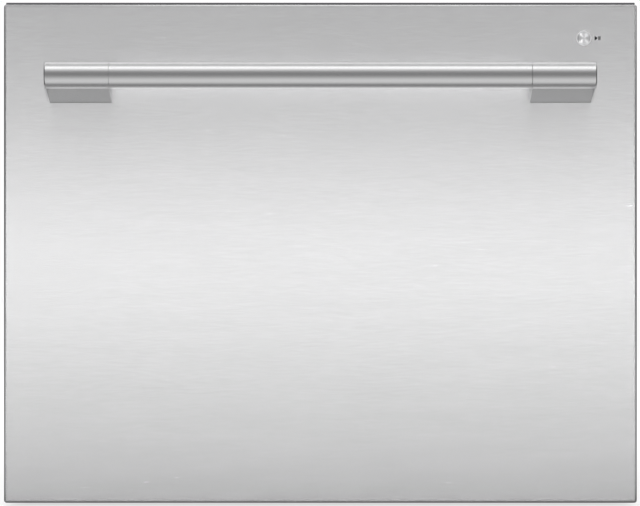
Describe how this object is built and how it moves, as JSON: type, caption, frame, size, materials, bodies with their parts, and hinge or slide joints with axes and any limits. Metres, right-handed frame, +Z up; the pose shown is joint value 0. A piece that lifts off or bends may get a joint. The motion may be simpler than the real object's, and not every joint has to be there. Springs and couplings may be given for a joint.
{
  "type": "dishwasher drawer",
  "caption": "Single dishwasher drawer: brushed steel front with a round bar handle and a start button, a wash tub on full slides, and a steel frame.",
  "frame": {"origin": "on the floor, under the middle of the machine's box", "axes": "+Z up, the front with its handle faces -Y, +X to the right seen from the front"},
  "size_m": [0.599, 0.6332, 0.4766],
  "materials": {
    "front_steel": "horizontal brush grain",
    "handle_steel": "fine grain along the bar",
    "button_steel": "turned face with rings",
    "strip_black": "gloss",
    "key_grey": "satin",
    "symbol_ink": "printed",
    "liner_grey": "fine moulded grain",
    "dark_plastic": "moulded",
    "motor_shell": "moulded",
    "pale_plastic": "moulded",
    "lid_plastic": "moulded",
    "rack_gear_plastic": "moulded",
    "tub_plastic": "moulded",
    "spray_plastic": "moulded",
    "cap_plastic": "gloss",
    "basket_plastic": "moulded",
    "filter_steel": "rolled and pierced",
    "rack_wire": "nylon-coated wire",
    "frame_sheet": "zinc-coated sheet",
    "slide_steel": "bright zinc",
    "screw_zinc": "bright zinc",
    "seal_rubber": "matte"
  },
  "bodies": {
    "frame": {"side_panel_left": "frame_sheet", "side_panel_right": "frame_sheet", "back_panel": "frame_sheet", "base_tray": "frame_sheet", "feet": "seal_rubber", "frame_braces": "frame_sheet", "frame_screws": "screw_zinc", "frame_rail_left": "slide_steel", "frame_rail_right": "slide_steel", "lid_motors": "dark_plastic", "inlet_valve": "pale_plastic", "drain_outlet": "dark_plastic", "terminal_box": "dark_plastic", "flood_switch": "pale_plastic"},
    "drawer": {"front_skin": "front_steel", "front_liner": "liner_grey", "control_strip": "strip_black", "button_bezel": "button_steel", "start_symbol": "symbol_ink", "control_module": "dark_plastic", "handle_bar": "handle_steel", "handle_bracket_left": "handle_steel", "handle_bracket_right": "handle_steel", "handle_screws": "screw_zinc", "fan_housing": "dark_plastic", "tub": "tub_plastic", "link_bracket": "slide_steel", "drawer_rail_left": "slide_steel", "drawer_rail_right": "slide_steel", "filter_plate": "filter_steel", "wash_motor": "motor_shell", "dispenser": "liner_grey", "rack": "rack_wire", "rack_ends": "rack_wire", "rack_sides": "rack_wire", "cutlery_basket": "basket_plastic", "basket_dividers": "basket_plastic"},
    "mid_slide_left": {"mid_rail_left": "slide_steel"},
    "mid_slide_right": {"mid_rail_right": "slide_steel"},
    "lid_unit": {"lid": "lid_plastic", "lid_seal": "seal_rubber", "lid_racks": "rack_gear_plastic"},
    "pinion_left": {"lid_pinion_left": "pale_plastic"},
    "pinion_right": {"lid_pinion_right": "pale_plastic"},
    "link_rear": {"link_arm_rear": "dark_plastic"},
    "link_front": {"link_arm_front": "dark_plastic"},
    "button": {"start_button": "button_steel"},
    "power_key": {"key_power": "key_grey"},
    "programme_key": {"key_programme": "key_grey"},
    "delay_key": {"key_delay": "key_grey"},
    "fan": {"drying_fan": "pale_plastic"},
    "filter": {"drain_filter": "dark_plastic"},
    "rotor": {"wash_rotor": "pale_plastic"},
    "spray": {"spray_arm": "spray_plastic"},
    "dispenser_flap": {"dispenser_door": "pale_plastic"},
    "cap": {"rinse_cap": "cap_plastic"},
    "tines_front": {"tine_row_front": "rack_wire"},
    "tines_rear": {"tine_row_rear": "rack_wire"},
    "shelf_left": {"cup_shelf_left": "rack_wire"},
    "shelf_right": {"cup_shelf_right": "rack_wire"}
  },
  "joints": [
    {"name": "drawer_slide", "type": "slide", "parent": "frame", "child": "drawer", "axis": [0, -1, 0], "range_m": [0, 0.43]},
    {"name": "mid_left_slide", "type": "slide", "parent": "frame", "child": "mid_slide_left", "axis": [0, -1, 0], "range_m": [0, 0.215]},
    {"name": "mid_right_slide", "type": "slide", "parent": "frame", "child": "mid_slide_right", "axis": [0, -1, 0], "range_m": [0, 0.215]},
    {"name": "lid_lift", "type": "slide", "parent": "frame", "child": "lid_unit", "axis": [0, 0, 1], "range_m": [0, 0.008]},
    {"name": "pinion_left_turn", "type": "hinge", "parent": "frame", "child": "pinion_left", "pos_m": [-0.2802, 0.0666, 0.4398], "axis": [-1, 0, 0], "range_deg": [0, 60]},
    {"name": "pinion_right_turn", "type": "hinge", "parent": "frame", "child": "pinion_right", "pos_m": [0.2802, 0.0666, 0.4398], "axis": [-1, 0, 0], "range_deg": [0, 60]},
    {"name": "link_rear_turn", "type": "hinge", "parent": "frame", "child": "link_rear", "pos_m": [0.096, 0.0374, 0.009], "axis": [0, 0, -1], "range_deg": [0, 90]},
    {"name": "link_front_turn", "type": "hinge", "parent": "link_rear", "child": "link_front", "pos_m": [0.2035, 0.1449, 0.0133], "axis": [0, 0, 1], "range_deg": [0, 180]},
    {"name": "button_press", "type": "slide", "parent": "drawer", "child": "button", "axis": [0, 1, 0], "range_m": [0, 0.0012], "stiffness_N_per_m": 600},
    {"name": "power_press", "type": "slide", "parent": "drawer", "child": "power_key", "axis": [0, 0, -1], "range_m": [0, 0.0005], "stiffness_N_per_m": 1500},
    {"name": "programme_press", "type": "slide", "parent": "drawer", "child": "programme_key", "axis": [0, 0, -1], "range_m": [0, 0.0005], "stiffness_N_per_m": 1500},
    {"name": "delay_press", "type": "slide", "parent": "drawer", "child": "delay_key", "axis": [0, 0, -1], "range_m": [0, 0.0005], "stiffness_N_per_m": 1500},
    {"name": "fan_spin", "type": "hinge", "parent": "drawer", "child": "fan", "pos_m": [-0.15, -0.245, 0.23], "axis": [0, 1, 0], "continuous": true},
    {"name": "filter_twist", "type": "hinge", "parent": "drawer", "child": "filter", "pos_m": [0.15, -0.0004, 0.077], "axis": [0, 0, 1], "range_deg": [0, 90]},
    {"name": "rotor_spin", "type": "hinge", "parent": "drawer", "child": "rotor", "pos_m": [0, -0.0004, 0.06], "axis": [0, 0, 1], "continuous": true},
    {"name": "spray_spin", "type": "hinge", "parent": "drawer", "child": "spray", "pos_m": [0, -0.0004, 0.099], "axis": [0, 0, 1], "continuous": true},
    {"name": "flap_hinge", "type": "hinge", "parent": "drawer", "child": "dispenser_flap", "pos_m": [-0.032, -0.1977, 0.311], "axis": [-1, 0, 0], "range_deg": [0, 95]},
    {"name": "cap_twist", "type": "hinge", "parent": "drawer", "child": "cap", "pos_m": [0.054, -0.208, 0.348], "axis": [0, 1, 0], "range_deg": [0, 90]},
    {"name": "tines_front_fold", "type": "hinge", "parent": "drawer", "child": "tines_front", "pos_m": [-0.081, -0.0844, 0.1371], "axis": [-1, 0, 0], "range_deg": [0, 78]},
    {"name": "tines_rear_fold", "type": "hinge", "parent": "drawer", "child": "tines_rear", "pos_m": [-0.081, 0.0616, 0.1371], "axis": [-1, 0, 0], "range_deg": [0, 78]},
    {"name": "shelf_left_fold", "type": "hinge", "parent": "drawer", "child": "shelf_left", "pos_m": [-0.253, -0.0004, 0.2634], "axis": [0, -1, 0], "range_deg": [0, 88]},
    {"name": "shelf_right_fold", "type": "hinge", "parent": "drawer", "child": "shelf_right", "pos_m": [0.253, -0.0004, 0.2634], "axis": [0, 1, 0], "range_deg": [0, 88]}
  ],
  "couplings": [
    {"joint": "mid_left_slide", "follows": "drawer_slide", "ratio": 0.5},
    {"joint": "mid_right_slide", "follows": "drawer_slide", "ratio": 0.5},
    {"joint": "pinion_left_turn", "follows": "lid_lift", "rad_per_m": 125},
    {"joint": "pinion_right_turn", "follows": "lid_lift", "rad_per_m": 125},
    {"joint": "link_rear_turn", "follows": "drawer_slide", "rad_per_m": 3.653},
    {"joint": "link_front_turn", "follows": "drawer_slide", "rad_per_m": 7.306}
  ]
}
